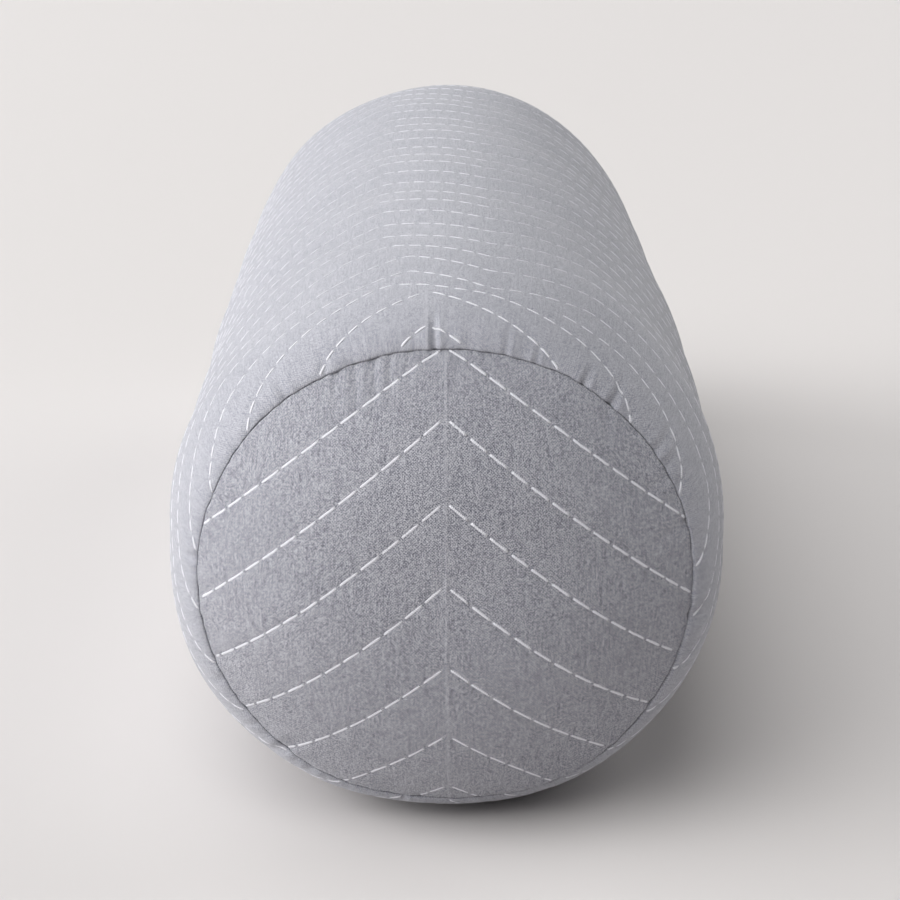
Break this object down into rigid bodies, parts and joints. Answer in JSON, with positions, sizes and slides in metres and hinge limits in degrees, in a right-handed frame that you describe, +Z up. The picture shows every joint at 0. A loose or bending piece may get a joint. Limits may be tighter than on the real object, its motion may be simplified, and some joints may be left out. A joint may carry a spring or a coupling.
{
  "type": "round bolster body pillow",
  "caption": "Long round bolster pillow of grey cotton with dashed white chevron stitching, gathered end seams and domed round end panels, lying on its side.",
  "frame": {"origin": "on the surface the pillow lies on, under the middle of the roll", "axes": "+Y along the roll from the front end panel, which the picture shows, to the back one; +Z up; +X to the right seen from the front"},
  "size_m": [0.2358, 0.668, 0.2197],
  "materials": {
    "side_cloth": "matt blue-grey chambray cotton with white running stitches in chevrons",
    "end_cloth": "matt blue-grey chambray cotton with white running stitches in chevrons"
  },
  "bodies": {
    "root": {"filled_side_panel": "side_cloth", "front_end_panel": "end_cloth", "back_end_panel": "end_cloth"}
  },
  "joints": []
}
